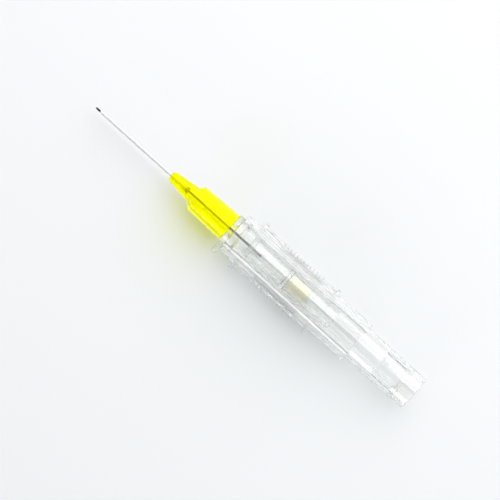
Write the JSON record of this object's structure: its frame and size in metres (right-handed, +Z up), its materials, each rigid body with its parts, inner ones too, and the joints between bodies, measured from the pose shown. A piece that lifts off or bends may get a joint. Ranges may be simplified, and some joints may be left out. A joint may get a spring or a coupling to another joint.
{
  "type": "safety iv cannula",
  "caption": "Intravenous cannula with a steel needle in a short soft tube, a yellow tapered hub and a clear guard that slides forward over the needle out of a ribbed grip housing.",
  "frame": {"origin": "centre of the flat underside of the housing's grip", "axes": "+X along the needle from its point to the guard's rear end, +Z up out of the underside towards the bevel, +Y to the side away from the push-off tab"},
  "size_m": [0.0864, 0.012, 0.0092],
  "materials": {
    "needle_steel": "ground and polished steel",
    "eyelet_steel": "rolled steel",
    "adhesive": "clear cured adhesive",
    "chamber_plastic": "clear moulded plastic",
    "housing_plastic": "clear moulded plastic",
    "guard_plastic": "clear moulded plastic",
    "collar_plastic": "clear moulded plastic",
    "hub_plastic": "transparent yellow moulded plastic",
    "tube_plastic": "translucent soft tube",
    "porous_plug": "sintered porous plastic",
    "ring_plastic": "white moulded plastic"
  },
  "bodies": {
    "housing": {"housing": "housing_plastic", "flash_chamber": "chamber_plastic", "needle": "needle_steel", "needle_bond": "adhesive", "filter_plug": "porous_plug", "filter_ring": "ring_plastic"},
    "guard": {"needle_guard": "guard_plastic", "guard_end_collar": "collar_plastic"},
    "catheter": {"catheter_hub": "hub_plastic", "catheter_tube": "tube_plastic", "catheter_eyelet": "eyelet_steel"}
  },
  "joints": [
    {"name": "guard_slide", "type": "slide", "parent": "housing", "child": "guard", "axis": [-1, 0, 0], "range_m": [0, 0.0382]},
    {"name": "catheter_slide", "type": "slide", "parent": "guard", "child": "catheter", "axis": [-1, 0, 0], "range_m": [0, 0.045]}
  ]
}
